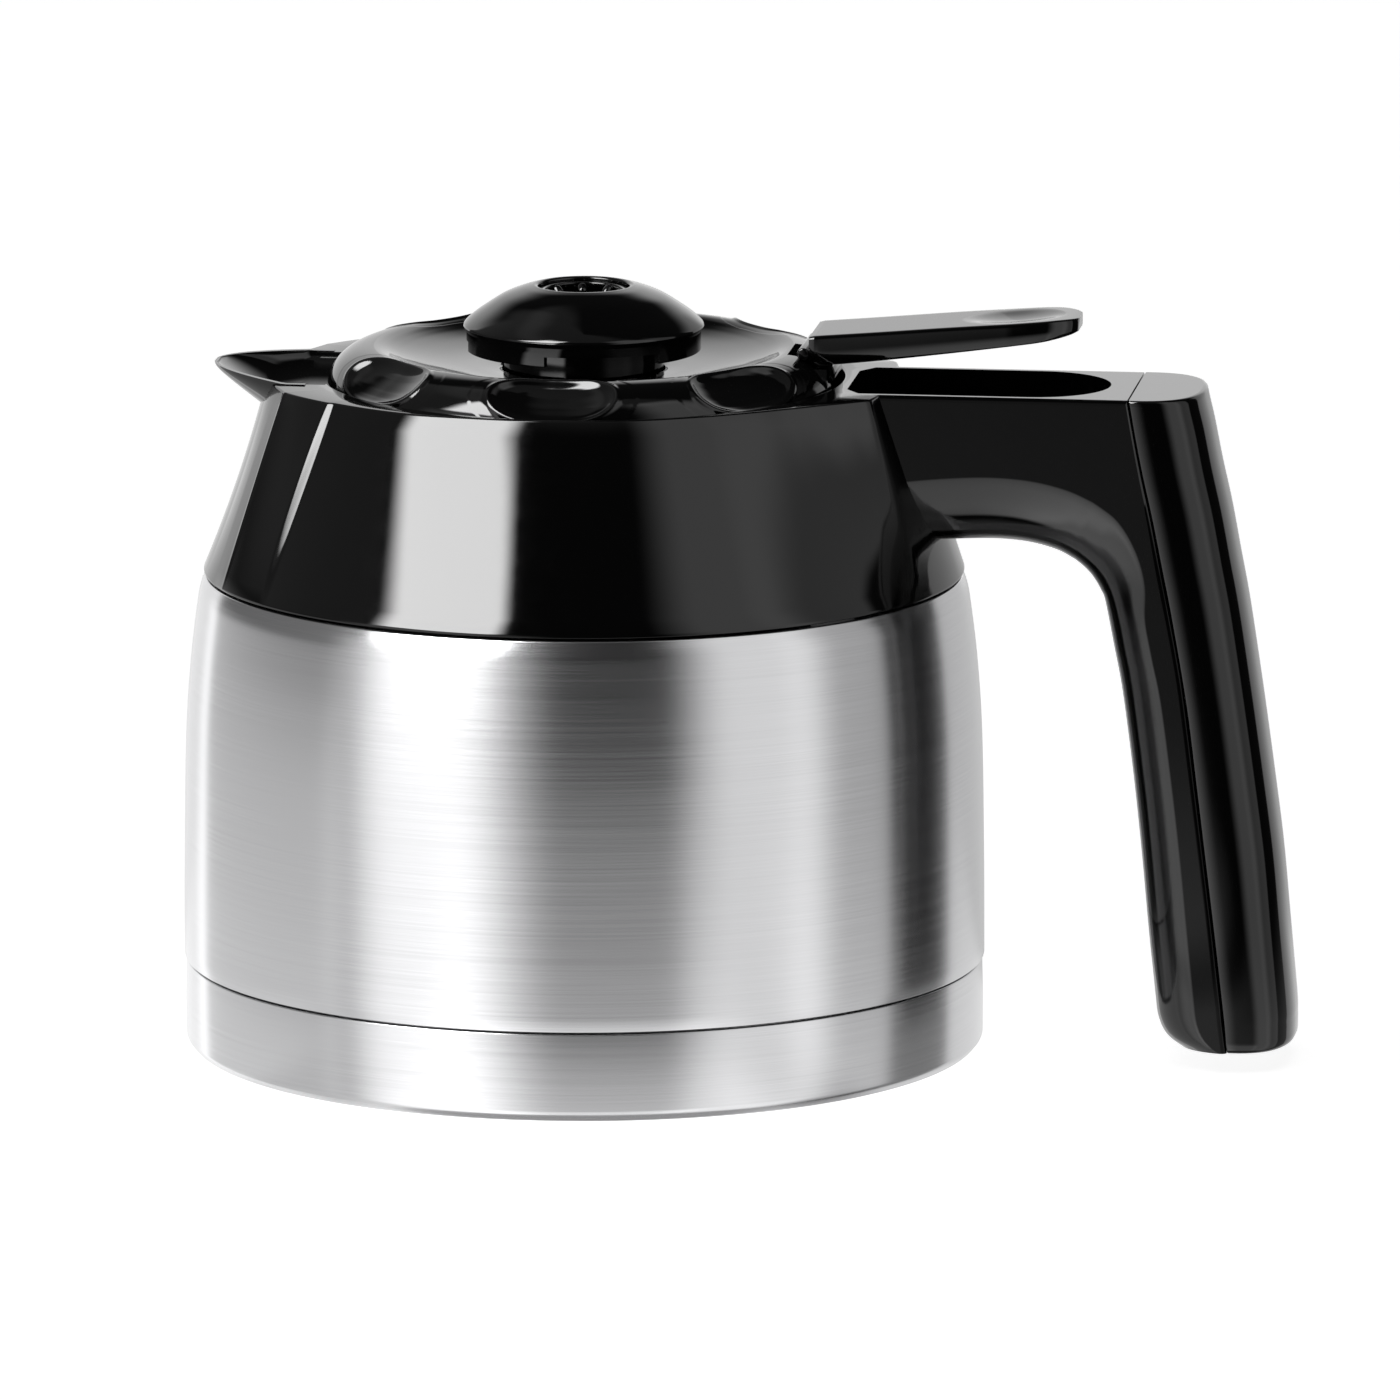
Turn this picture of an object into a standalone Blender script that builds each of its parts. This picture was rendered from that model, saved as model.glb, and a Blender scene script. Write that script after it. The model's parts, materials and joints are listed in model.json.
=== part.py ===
"""Thermal coffee jug with a screw lid, a thumb lever and a drip-through dome.

Lengths in this file are millimetres and are scaled to metres when a mesh is made. The axis of
the jug is Z, the table is z = 0, the handle points to +X and the spout to -X.
"""

import math

import bmesh
import bpy
import numpy as np

MM = 0.001
GAP = 0.3
WELD = 1e-5

WIDE_STEPS = 40
SMALL_STEPS = 28
TINY_STEPS = 16

# Heights of the stack
CUP_TOP = 16.3
SHELL_FOOT = CUP_TOP + GAP
COLLAR_FOOT = 87.7
RIM_Z = 123.6
WEB_LOW = 115.2
WEB_TOP = 118.3
FLANGE_TOP = 114.4
FLASK_WELD_Z = 83.0

# Radii of the mouth
BORE_R = 47.5
WEB_R = 43.6
FLASK_NECK_R = 42.3
FLASK_R = 66.8
SEAL_R = 42.0
STOPPER_R = 40.3
STOPPER_WALL = 1.6

COLLAR_FOOT_R = 69.5
COLLAR_WALL = 2.4
RIM_EDGE = 0.7

# Outline of the collar's rim: degrees from the handle, radius
RIM_OUTLINE = (
    (0.0, 57.5),
    (7.0, 57.6),
    (14.0, 57.8),
    (20.5, 58.6),
    (25.0, 56.0),
    (31.0, 53.2),
    (37.0, 51.3),
    (43.0, 50.1),
    (50.0, 49.2),
    (58.0, 48.8),
    (66.0, 48.7),
    (74.0, 48.7),
    (82.0, 48.7),
    (90.0, 48.8),
    (98.0, 49.1),
    (106.0, 49.8),
    (114.0, 50.8),
    (122.0, 51.8),
    (130.0, 52.8),
    (136.0, 53.6),
    (142.3, 54.8),
    (147.5, 56.0),
    (153.3, 57.0),
    (160.0, 57.3),
    (166.7, 57.5),
    (173.3, 57.6),
    (180.0, 57.6),
)

# Spout
SPOUT_TIP_X = -67.8
SPOUT_ROOT_X = -52.0
SPOUT_SPREAD = 4.8
SPOUT_HALF = 18.6
SPOUT_KEEL_SLOPE = 0.72
SPOUT_RISE = 0.07
SPOUT_WALL = 1.3

# Handle: inner line of the arm and grip, paired with the outer line of the front moulding
HANDLE_HALF = 15.6
HANDLE_FOOT = 4.2
HANDLE_STATIONS = (
    ((64.3, 95.7), (54.0, RIM_Z)),
    ((70.0, 95.4), (64.0, RIM_Z)),
    ((76.5, 95.0), (74.0, RIM_Z)),
    ((82.5, 94.0), (84.0, RIM_Z)),
    ((87.0, 92.6), (93.0, RIM_Z)),
    ((89.7, 91.2), (100.9, RIM_Z)),
    ((91.4, 89.8), (102.1, 117.0)),
    ((92.8, 88.3), (103.5, 110.0)),
    ((93.9, 86.8), (105.3, 102.0)),
    ((94.7, 85.3), (107.1, 93.0)),
    ((95.4, 83.5), (108.9, 84.0)),
    ((97.0, 76.8), (110.5, 75.5)),
    ((98.3, 69.4), (111.7, 67.8)),
    ((100.3, 54.7), (113.6, 53.0)),
    ((102.1, 39.8), (115.3, 39.3)),
    ((103.6, 24.9), (117.0, 25.5)),
    ((104.8, 11.5), (118.6, 11.8)),
    ((106.2, 6.9), (119.1, 7.4)),
    ((109.2, HANDLE_FOOT), (119.5, HANDLE_FOOT + 0.2)),
)
GRIP_ROUND = 8.5
SCREW_Z = 117.2

# Rear cover: height, seam, back
COVER_LEVELS = (
    (RIM_Z, 101.2, 112.6),
    (122.2, 101.5, 113.9),
    (117.0, 102.4, 115.2),
    (110.0, 103.8, 116.6),
    (102.0, 105.6, 118.4),
    (93.0, 107.4, 120.1),
    (84.0, 109.2, 121.8),
    (67.8, 112.0, 124.3),
    (53.0, 113.9, 126.4),
    (39.3, 115.6, 128.2),
    (25.5, 117.3, 129.4),
    (11.8, 118.9, 130.7),
    (6.4, 119.5, 131.0),
    (HANDLE_FOOT, 119.8, 129.8),
)

# Lever
PIVOT_X = 44.0
PIVOT_Z = 125.4
PIN_R = 1.25
PIN_HOLE_R = 1.42
HUB_R = 2.7
HUB_HALF = 5.5
EAR_OUTER = 9.2
EAR_INNER = 6.0

# Valve
TUBE_R = 14.5
TUBE_HOLE_R = 14.9
GUIDE_LOW = 113.0
PLATE_TOP = 102.8
SCOOP_STEP = 45.0

COLOURS = {
    "steel": ((0.62, 0.62, 0.63), 1.0, 0.28),
    "bright_steel": ((0.70, 0.70, 0.71), 1.0, 0.16),
    "black_gloss": ((0.012, 0.012, 0.013), 0.0, 0.08),
    "black_matt": ((0.03, 0.03, 0.03), 0.0, 0.55),
    "silicone": ((0.35, 0.35, 0.36), 0.0, 0.6),
    "rubber": ((0.04, 0.04, 0.04), 0.0, 0.8),
}


def clear_scene():
    for item in list(bpy.data.objects):
        bpy.data.objects.remove(item, do_unlink=True)


def new_collection(name):
    made = bpy.data.collections.new(name)
    bpy.context.scene.collection.children.link(made)
    return made


def material(node, look):
    colour, metal, rough = COLOURS[look]
    made = bpy.data.materials.new(node)
    made.use_nodes = True
    shader = made.node_tree.nodes["Principled BSDF"]
    shader.inputs["Base Color"].default_value = (*colour, 1.0)
    shader.inputs["Metallic"].default_value = metal
    shader.inputs["Roughness"].default_value = rough
    return made


def add_object(name, mesh, look, place=(0.0, 0.0, 0.0)):
    """Places a mesh as a part, or as a helper that only shapes other parts when look is None."""
    made = bpy.data.objects.new(name, mesh)
    made.location = [value * MM for value in place]
    if look is None:
        helpers.objects.link(made)
        made.hide_render = True
        made.display_type = "WIRE"
    else:
        jug.objects.link(made)
        mesh.materials.append(material(name, look))
    return made


def clockwise(profile):
    area = 0.0
    for (x0, z0), (x1, z1) in zip(profile, profile[1:] + profile[:1]):
        area += x0 * z1 - x1 * z0
    return profile if area < 0 else profile[::-1]


def turned(name, profile, look, steps=WIDE_STEPS, place=(0.0, 0.0, 0.0)):
    """A profile of (radius, height) turned about its own upright axis."""
    profile = clockwise(list(profile))
    on_axis = [i for i, (radius, _) in enumerate(profile) if radius == 0]
    closed = not on_axis
    if on_axis:
        top = max(on_axis, key=lambda i: profile[i][1])
        profile = profile[top:] + profile[:top]
    count = len(profile)
    edges = [(i, i + 1) for i in range(count - 1)]
    if closed:
        edges.append((count - 1, 0))
    mesh = bpy.data.meshes.new(name)
    mesh.from_pydata([(r * MM, 0.0, z * MM) for r, z in profile], edges, [])
    made = add_object(name, mesh, look, place)
    screw = made.modifiers.new("turn", "SCREW")
    screw.axis = "Z"
    screw.angle = 2 * math.pi
    screw.steps = steps
    screw.render_steps = steps
    screw.use_merge_vertices = bool(on_axis)
    screw.merge_threshold = WELD
    screw.use_smooth_shade = True
    return made


def finish_mesh(name, verts, faces, smooth_degrees):
    mesh = bpy.data.meshes.new(name)
    mesh.from_pydata([tuple(value * MM for value in v) for v in verts], [], faces)
    work = bmesh.new()
    work.from_mesh(mesh)
    bmesh.ops.recalc_face_normals(work, faces=work.faces)
    work.to_mesh(mesh)
    work.free()
    mesh.shade_smooth()
    mesh.set_sharp_from_angle(angle=math.radians(smooth_degrees))
    return mesh


def skinned(name, rings, look, around=False, smooth_degrees=35.0):
    """A skin over rings of equal length. It closes on itself if around, or else ends in caps."""
    size = len(rings[0])
    verts = [point for ring in rings for point in ring]
    faces = []
    spans = len(rings) if around else len(rings) - 1
    for i in range(spans):
        low = i * size
        high = ((i + 1) % len(rings)) * size
        for j in range(size):
            k = (j + 1) % size
            faces.append((low + j, low + k, high + k, high + j))
    if not around:
        faces.append(tuple(range(size)))
        faces.append(tuple(range(len(verts) - size, len(verts))))
    return add_object(name, finish_mesh(name, verts, faces, smooth_degrees), look)


def block(name, low, high, look=None):
    """A box between two corners."""
    ring = []
    for x, y in ((0, 0), (1, 0), (1, 1), (0, 1)):
        ring.append(((low[0], high[0])[x], (low[1], high[1])[y]))
    rings = [[(x, y, z) for x, y in ring] for z in (low[2], high[2])]
    return skinned(name, rings, look)


def rod(name, radius, start, end, look=None, steps=TINY_STEPS):
    """A round bar between two points."""
    start = np.array(start, float)
    end = np.array(end, float)
    along = (end - start) / np.linalg.norm(end - start)
    side = np.cross(along, (0.0, 0.0, 1.0) if abs(along[2]) < 0.9 else (1.0, 0.0, 0.0))
    side /= np.linalg.norm(side)
    up = np.cross(along, side)
    rings = []
    for centre in (start, end):
        ring = []
        for i in range(steps):
            turn = 2 * math.pi * i / steps
            point = centre + radius * (math.cos(turn) * side + math.sin(turn) * up)
            ring.append(tuple(point))
        rings.append(ring)
    return skinned(name, rings, look)


def combine(base, other, operation):
    change = base.modifiers.new(other.name, "BOOLEAN")
    change.operation = operation
    change.solver = "EXACT"
    change.object = other


def cut(base, *others):
    for other in others:
        combine(base, other, "DIFFERENCE")


def join(base, *others):
    for other in others:
        combine(base, other, "UNION")


def make_body():
    """The steel vacuum flask and its base."""
    turned(
        "base_pad",
        ((0, 1.7), (60.4, 1.7), (61.0, 1.1), (61.0, 0.6), (60.4, 0.0), (0, 0.0)),
        "rubber",
    )
    turned(
        "base_cup",
        (
            (0, 2.8),
            (62.2, 2.8),
            (62.8, 1.4),
            (70.4, 1.4),
            (71.7, 2.6),
            (72.0, 4.6),
            (72.0, CUP_TOP),
            (72.8, CUP_TOP),
            (72.8, 4.6),
            (72.3, 2.2),
            (71.4, 1.0),
            (70.2, 0.6),
            (61.5, 0.6),
            (61.5, 2.0),
            (0, 2.0),
        ),
        "steel",
    )
    turned(
        "vacuum_base",
        (
            (0, 19.0),
            (60.0, 19.0),
            (66.0, 17.6),
            (71.8, 17.6),
            (71.8, 16.8),
            (65.8, 16.8),
            (59.8, 18.2),
            (0, 18.2),
        ),
        "bright_steel",
        SMALL_STEPS,
    )
    turned(
        "getter_cap",
        ((0, 17.9), (6.0, 17.9), (6.0, 16.9), (5.0, 16.5), (0, 16.5)),
        "bright_steel",
        TINY_STEPS,
    )
    turned(
        "outer_shell",
        (
            (73.2, SHELL_FOOT),
            (72.3, SHELL_FOOT),
            (72.2, 34.0),
            (71.7, 57.0),
            (70.9, 70.0),
            (69.5, 81.0),
            (68.4, 86.0),
            (68.2, 87.2),
            (69.1, 87.2),
            (69.6, 86.0),
            (70.5, 81.8),
            (71.8, 71.0),
            (72.7, 57.0),
            (73.1, 34.0),
        ),
        "steel",
    )
    turned(
        "outer_neck",
        (
            (67.1, 85.0),
            (67.1, 85.9),
            (65.8, 86.5),
            (62.9, 91.0),
            (56.7, 97.4),
            (47.6, 104.6),
            (45.2, 108.4),
            (44.7, 113.2),
            (45.6, 113.2),
            (46.1, 108.8),
            (48.3, 105.3),
            (57.4, 98.2),
            (63.8, 91.6),
            (66.5, 87.4),
            (67.9, 86.7),
            (67.9, 85.0),
        ),
        "steel",
    )
    turned("inner_base", ((0, 22.9), (59.7, 22.9), (59.7, 22.1), (0, 22.1)), "bright_steel")
    turned(
        "inner_wall",
        (
            (60.0, 22.9),
            (63.9, 23.9),
            (66.0, 26.4),
            (FLASK_R, 30.0),
            (66.7, 58.0),
            (65.6, 75.0),
            (63.9, FLASK_WELD_Z),
            (64.75, FLASK_WELD_Z),
            (66.4, 75.2),
            (67.5, 58.0),
            (FLASK_R + 0.8, 29.8),
            (66.7, 25.9),
            (64.4, 23.2),
            (60.0, 22.1),
        ),
        "bright_steel",
    )
    turned(
        "inner_neck",
        (
            (63.83, FLASK_WELD_Z + GAP),
            (60.2, 89.6),
            (49.4, 99.0),
            (44.2, 103.3),
            (FLASK_NECK_R, 107.3),
            (FLASK_NECK_R, FLANGE_TOP),
            (45.6, FLANGE_TOP),
            (45.6, 113.5),
            (43.1, 113.5),
            (43.1, 107.6),
            (44.9, 104.0),
            (50.0, 99.7),
            (60.9, 90.2),
            (64.68, FLASK_WELD_Z + GAP),
        ),
        "bright_steel",
    )
    turned(
        "neck_gasket",
        ((46.1, 116.5), (46.1, 114.7), (43.4, 114.7), (43.4, 116.5)),
        "silicone",
    )
    turned(
        "collar_clamp",
        ((50.5, 114.8), (50.5, 110.8), (46.4, 110.8), (46.2, 114.8)),
        "black_matt",
    )


def collar_loop(degrees, top_r):
    """One section of the collar, from the outer edge of the rim round to the bore."""
    slope = (COLLAR_FOOT_R - top_r) / (RIM_Z - COLLAR_FOOT)
    roof_r = top_r + slope * (RIM_Z - 112.5) - COLLAR_WALL
    section = (
        (top_r - RIM_EDGE, RIM_Z),
        (top_r, RIM_Z - RIM_EDGE),
        (COLLAR_FOOT_R, COLLAR_FOOT + 0.6),
        (COLLAR_FOOT_R - 0.6, COLLAR_FOOT),
        (COLLAR_FOOT_R - COLLAR_WALL, COLLAR_FOOT),
        (roof_r, 112.5),
        (roof_r - 2.3, WEB_LOW),
        (46.4, WEB_LOW),
        (46.4, 116.8),
        (WEB_R, 116.8),
        (WEB_R, WEB_TOP),
        (BORE_R, WEB_TOP),
        (BORE_R, RIM_Z - 0.3),
        (BORE_R + 0.3, RIM_Z),
    )
    turn = math.radians(degrees)
    return [(r * math.cos(turn), r * math.sin(turn), z) for r, z in section]


def handle_ring(inner, outer, half, rounding):
    """A section of the handle's front half: square at the outer line, rounded at the inner."""
    inner = np.array(inner)
    outer = np.array(outer)
    length = np.linalg.norm(outer - inner)
    along = (outer - inner) / length
    flat = [(length, -half)]
    quarter = 4
    for i in range(quarter + 1):
        turn = math.pi / 2 * i / quarter
        depth = rounding * (1 - math.sin(turn))
        flat.append((depth, -(half - rounding) - rounding * math.cos(turn)))
    for depth, across in list(reversed(flat)):
        flat.append((depth, -across))
    ring = []
    for depth, across in flat:
        spot = inner + depth * along
        ring.append((spot[0], across, spot[1]))
    return ring


def spout_size(x):
    """Half width, keel height and lip height of the beak at a distance along the spout."""
    reach = x - SPOUT_TIP_X
    half = min(SPOUT_SPREAD * math.sqrt(reach), SPOUT_HALF)
    lip = RIM_Z + 0.2 + SPOUT_RISE * max(0.0, SPOUT_ROOT_X - x)
    keel = max(124.2 - SPOUT_KEEL_SLOPE * reach, WEB_LOW + 1.0)
    return half, min(keel, lip - 0.4), lip


def bowl(x, half, lip, low, steps=8):
    points = []
    for i in range(steps + 1):
        turn = math.pi * i / steps
        points.append((x, -half * math.cos(turn), lip - (lip - low) * math.sin(turn)))
    return points


def beak_rings():
    """The outside of the beak."""
    rings = []
    for x in (-48.5, -52.0, -55.0, -57.5, -60.0, -62.5, -64.5, -66.0, -67.0, -67.6):
        half, keel, lip = spout_size(x)
        rings.append(bowl(x, half, lip, keel))
    return rings


def trough_rings():
    """The trough from the bore to the tip of the spout, open above."""
    rings = []
    for x in (-45.0, -49.0, -52.0, -55.0, -57.5, -60.0, -62.5, -64.5, -66.0, -67.0):
        half, keel, lip = spout_size(x)
        floor = max(keel + SPOUT_WALL, WEB_TOP + 0.5)
        section = bowl(x, half - SPOUT_WALL, lip, min(floor, lip - 0.3))
        section.insert(0, (x, SPOUT_WALL - half, lip + 3.0))
        section.append((x, half - SPOUT_WALL, lip + 3.0))
        rings.append(section)
    return rings


def make_collar():
    """The collar with its spout and the front half of the handle, one moulding."""
    angles = list(RIM_OUTLINE)
    for degrees, radius in reversed(RIM_OUTLINE[1:-1]):
        angles.append((360.0 - degrees, radius))
    collar = skinned(
        "collar",
        [collar_loop(degrees, radius) for degrees, radius in angles],
        "black_gloss",
        around=True,
    )
    arm = skinned(
        "arm_form",
        [handle_ring(a, b, HANDLE_HALF, GRIP_ROUND) for a, b in HANDLE_STATIONS],
        None,
    )
    beak = skinned("beak_form", beak_rings(), None)
    trough = skinned("trough_form", trough_rings(), None)
    join(collar, arm, beak)
    hole = rod("screw_hole", 1.9, (90.0, 0.0, SCREW_Z), (106.0, 0.0, SCREW_Z))
    cut(collar, trough, channel_form(), grip_hollow(), hole)


def channel_form():
    """The slot in the top of the handle that takes the pressed lever."""
    half = 13.7
    start = 52.4
    end = 94.0
    ring = [(start + 2.5, -half), (start, -half + 4.0), (start, half - 4.0), (start + 2.5, half)]
    for i in range(9):
        turn = math.pi / 2 - math.pi * i / 8
        ring.append((end - half + half * math.cos(turn), half * math.sin(turn)))
    rings = [[(x, y, z) for x, y in ring] for z in (111.5, RIM_Z + 3.0)]
    return skinned("channel_form", rings, None)


def grip_hollow():
    """The hollow of the grip's front half, open towards the rear cover."""
    wall = 2.4
    rings = []
    for inner, outer in HANDLE_STATIONS[9:17]:
        inner = np.array(inner)
        outer = np.array(outer)
        along = (outer - inner) / np.linalg.norm(outer - inner)
        ring = handle_ring(inner + wall * along, outer + 3.0 * along, HANDLE_HALF - wall, 6.0)
        rings.append(ring)
    return skinned("grip_hollow", rings, None)


def make_cover():
    """The rear half of the handle."""
    rings = []
    for z, seam, back in COVER_LEVELS:
        deep = back - seam
        half_ring = (
            (seam, HANDLE_HALF),
            (seam + 0.52 * deep, 0.935 * HANDLE_HALF),
            (seam + 0.90 * deep, 0.62 * HANDLE_HALF),
            (seam + 0.98 * deep, 0.34 * HANDLE_HALF),
        )
        ring = [(x, -y, z) for x, y in half_ring]
        ring.append((back, 0.0, z))
        ring.extend((x, y, z) for x, y in reversed(half_ring))
        rings.append(ring)
    cover = skinned("handle_cover", rings, "black_gloss")
    wall = 2.4
    hollow = []
    for z, seam, back in COVER_LEVELS[4:12]:
        deep = back - seam - wall
        half_ring = ((seam - 2.0, 13.2), (seam + 0.55 * deep, 12.2), (seam + deep, 7.6))
        ring = [(x, -y, z) for x, y in half_ring]
        ring.extend((x, y, z) for x, y in reversed(half_ring))
        hollow.append(ring)
    cut(
        cover,
        skinned("cover_hollow", hollow, None),
        rod("cover_hole", 1.9, (99.0, 0.0, SCREW_Z), (109.0, 0.0, SCREW_Z)),
    )
    screw = rod("handle_screw", 1.6, (92.5, 0.0, SCREW_Z), (108.4, 0.0, SCREW_Z), "bright_steel")
    join(screw, rod("screw_head", 3.2, (91.4, 0.0, SCREW_Z), (93.3, 0.0, SCREW_Z)))


def scoop_form(index, degrees):
    """An oval hollow for a finger in the rim of the lid."""
    turn = math.radians(degrees)
    mesh = bpy.data.meshes.new("scoop")
    work = bmesh.new()
    bmesh.ops.create_uvsphere(work, u_segments=20, v_segments=12, radius=MM)
    work.to_mesh(mesh)
    work.free()
    made = add_object("scoop_form_%d" % index, mesh, None)
    tilt = math.radians(42.0)
    out = 46.4 + 2.0 * math.cos(tilt)
    made.location = (out * math.cos(turn) * MM, out * math.sin(turn) * MM, 128.0 * MM)
    made.rotation_euler = (0.0, -tilt, turn)
    made.scale = (4.6, 12.6, 4.4)
    return made


def make_lid():
    """The lid, its stopper and the fixed pieces inside."""
    cap = turned(
        "lid_cap",
        (
            (40.2, 128.6),
            (42.3, 128.4),
            (44.4, 127.7),
            (46.0, 126.6),
            (46.9, 125.2),
            (46.9, 119.0),
            (44.9, 119.0),
            (44.9, 123.6),
            (38.0, 123.6),
            (33.0, 124.0),
            (TUBE_HOLE_R, 123.1),
            (TUBE_HOLE_R, 125.2),
            (18.0, 125.2),
            (26.0, 125.7),
            (33.0, 126.9),
            (37.5, 128.2),
        ),
        "black_gloss",
    )
    for index in range(1, 8):
        cut(cap, scoop_form(index, index * SCOOP_STEP))
    ears = []
    for side in (-1, 1):
        span = sorted((side * EAR_INNER, side * EAR_OUTER))
        ears.append(block("ear_%d" % side, (41.4, span[0], 123.5), (45.6, span[1], 127.4)))
    join(cap, *ears)
    cut(
        cap,
        block("lever_gap", (38.0, -EAR_INNER, 118.0), (52.0, EAR_INNER, 132.0)),
        rod(
            "pin_hole",
            PIN_HOLE_R,
            (PIVOT_X, -EAR_OUTER - 0.4, PIVOT_Z),
            (PIVOT_X, EAR_OUTER + 0.4, PIVOT_Z),
        ),
        block("pour_gap", (-50.0, -17.0, 117.0), (-43.0, 17.0, 122.6)),
    )
    stopper = turned(
        "stopper_body",
        (
            (44.4, 123.2),
            (44.4, 121.6),
            (STOPPER_R, 121.6),
            (STOPPER_R, 99.2),
            (39.1, 98.0),
            (16.0, 98.0),
            (16.0, 99.8),
            (STOPPER_R - STOPPER_WALL, 99.8),
            (STOPPER_R - STOPPER_WALL, 110.4),
            (36.4, 111.4),
            (36.4, GUIDE_LOW - GAP),
            (STOPPER_R - STOPPER_WALL, GUIDE_LOW - GAP),
            (STOPPER_R - STOPPER_WALL, 123.2),
        ),
        "black_matt",
    )
    cut(stopper, block("arm_gap", (33.0, -5.7, 115.1), (46.0, 5.7, 125.0)))
    for index, middle in enumerate((-10.5, 0.0, 10.5)):
        low = (-46.0, middle - 4.4, 115.2)
        high = (-33.0, middle + 4.4, 120.6)
        cut(stopper, block("window_%d" % index, low, high))
    guide = turned(
        "guide_plate",
        ((38.3, 114.6), (38.3, GUIDE_LOW), (TUBE_HOLE_R, GUIDE_LOW), (TUBE_HOLE_R, 114.6)),
        "black_matt",
    )
    for index in range(6):
        turn = math.radians(60.0 * index + 30.0)
        x = 26.5 * math.cos(turn)
        y = 26.5 * math.sin(turn)
        cut(guide, rod("guide_hole_%d" % index, 5.0, (x, y, 112.0), (x, y, 116.0)))
    lid_axis = bpy.data.objects.new("lid_axis", None)
    jug.objects.link(lid_axis)
    for index, degrees in enumerate((67.5, 157.5, 202.5, 292.5)):
        turn = math.radians(degrees)
        x = 42.35 * math.cos(turn)
        y = 42.35 * math.sin(turn)
        number = index + 1
        hole = rod("lid_hole_%d" % number, 1.15, (x, y, 119.5), (x, y, 126.6), None, 12)
        cut(cap, hole)
        cut(stopper, hole)
        screw = turned(
            "lid_screw_%d" % number,
            ((0, 126.2), (0.9, 126.2), (0.9, 121.3), (1.7, 121.3), (1.7, 120.1), (0, 120.1)),
            "bright_steel",
            12,
            (x, y, 0.0),
        )
        screw.parent = lid_axis
    turned(
        "lid_seal",
        (
            (SEAL_R, 112.2),
            (SEAL_R, 111.4),
            (41.3, 110.9),
            (SEAL_R, 110.2),
            (SEAL_R, 109.0),
            (STOPPER_R + GAP, 108.2),
            (STOPPER_R + GAP, 112.2),
        ),
        "silicone",
    )
    rod(
        "lever_pin",
        PIN_R,
        (PIVOT_X, 0.1 - EAR_OUTER, PIVOT_Z),
        (PIVOT_X, EAR_OUTER - 0.1, PIVOT_Z),
        "bright_steel",
    )


def lever_ring(x, half, low, top):
    """A section across the lever, with softened edges."""
    soft = min(0.9, 0.4 * half)
    ring = [(-half, low + soft), (-half + soft, low), (half - soft, low), (half, low + soft)]
    ring += [(half, top - soft), (half - soft, top), (-half + soft, top), (-half, top - soft)]
    return [(x, y, z) for y, z in ring]


def make_lever():
    """The thumb lever, with its origin on the hinge pin."""
    stations = (
        (42.3, 10.2, 128.75, 132.5),
        (43.2, 10.4, 128.8, 132.8),
        (55.0, 10.8, 129.6, 133.7),
        (68.0, 11.2, 130.7, 134.7),
        (79.0, 11.3, 131.9, 135.5),
        (84.5, 10.5, 132.7, 135.9),
        (88.3, 8.7, 133.4, 136.1),
        (91.0, 5.9, 134.2, 136.3),
        (92.5, 2.6, 134.9, 136.3),
    )
    lever = skinned("lever", [lever_ring(*row) for row in stations], "black_gloss")
    hub = rod("hub_form", HUB_R, (PIVOT_X, -HUB_HALF, PIVOT_Z), (PIVOT_X, HUB_HALF, PIVOT_Z))
    neck = block("neck_form", (42.4, -5.0, PIVOT_Z), (46.2, 5.0, 130.0))
    side_view = (
        (44.8, 123.6),
        (42.6, 127.4),
        (39.6, 122.8),
        (33.0, 118.6),
        (28.6, 116.8),
        (26.0, 116.8),
        (26.0, 115.0),
        (31.0, 115.0),
        (36.0, 117.0),
    )
    arm = skinned("inner_arm", [[(x, y, z) for x, z in side_view] for y in (-4.5, 4.5)], None)
    join(lever, neck, hub, arm)
    cut(lever, rod("hub_hole", PIN_HOLE_R, (PIVOT_X, -8.0, PIVOT_Z), (PIVOT_X, 8.0, PIVOT_Z)))
    set_origin(lever, (PIVOT_X, 0.0, PIVOT_Z))


def set_origin(item, place):
    """Moves the object's origin, and leaves its shape where it is."""
    for index in range(3):
        item.location[index] += place[index] * MM
    for vertex in item.data.vertices:
        for index in range(3):
            vertex.co[index] -= place[index] * MM


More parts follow.
